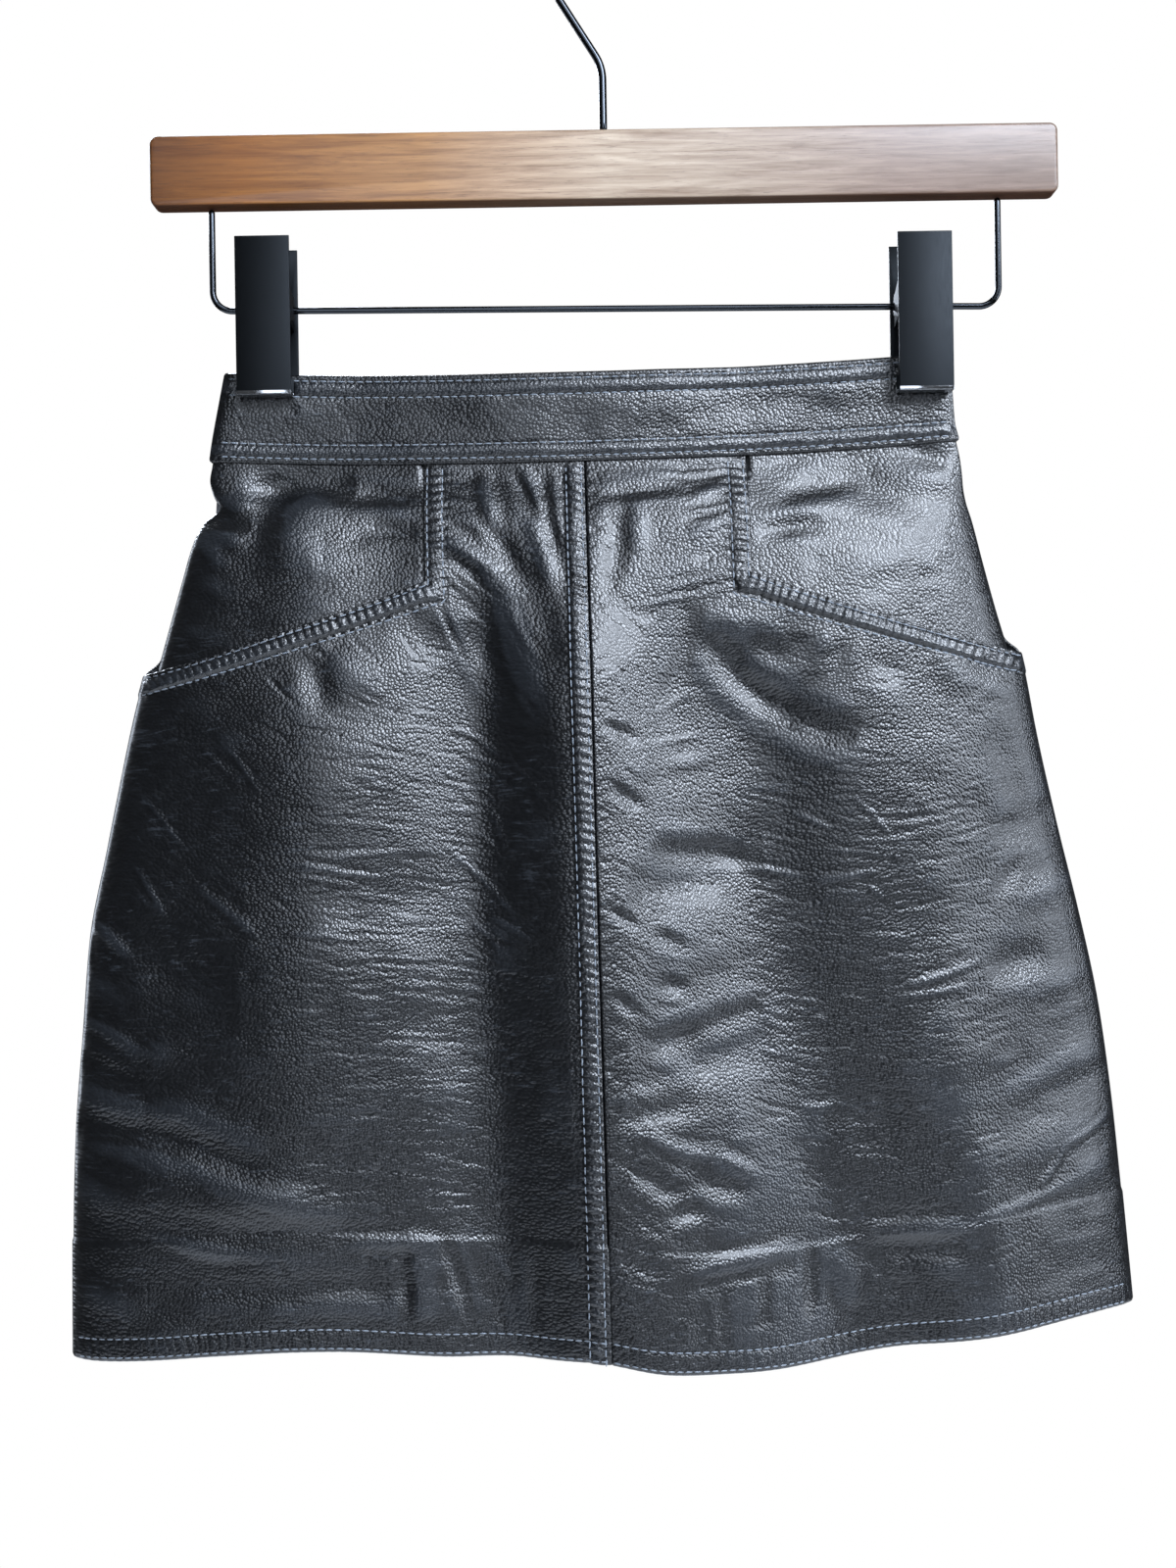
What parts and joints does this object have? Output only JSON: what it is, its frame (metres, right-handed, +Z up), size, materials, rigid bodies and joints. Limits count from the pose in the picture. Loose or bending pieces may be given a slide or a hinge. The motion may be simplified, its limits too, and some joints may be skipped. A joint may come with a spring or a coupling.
{
  "type": "leather mini skirt on a clip hanger",
  "caption": "A-line leather mini skirt with a topstitched waistband and slanted front pockets, clipped to a wooden hanger with a wire hook.",
  "frame": {"origin": "the point inside the top of the hook where a closet rail of any size touches it", "axes": "+Z up, -Y towards someone who looks at the front of the skirt, +X to that person's right"},
  "size_m": [0.457, 0.0974, 0.6127],
  "materials": {
    "leather": "blue-black nappa with a satin sheen",
    "walnut": "stained and lacquered",
    "chrome": "bright plated wire",
    "black_nickel": "black nickel plate",
    "zip_tape": "woven polyester tape with coil teeth"
  },
  "bodies": {
    "skirt_on_hanger": {"waistband_front": "leather", "waistband_back_left": "leather", "waistband_back_right": "leather", "front_left": "leather", "front_right": "leather", "hip_left": "leather", "hip_right": "leather", "back_left": "leather", "back_right": "leather", "back_zip": "zip_tape", "zip_slider": "black_nickel", "hanger_bar": "walnut", "hanger_hook": "chrome", "clip_rail": "chrome", "clip_left_front": "black_nickel", "clip_left_back": "black_nickel", "clip_left_spring": "chrome", "clip_right_front": "black_nickel", "clip_right_back": "black_nickel", "clip_right_spring": "chrome"},
    "pull_tab": {"zip_pull_tab": "black_nickel"}
  },
  "joints": [
    {"name": "pull_tab_hinge", "type": "hinge", "parent": "skirt_on_hanger", "child": "pull_tab", "pos_m": [-0.01048, 0.0124, -0.1986], "axis": [0.9999, 0, 0.0131], "range_deg": [0, 170]}
  ]
}
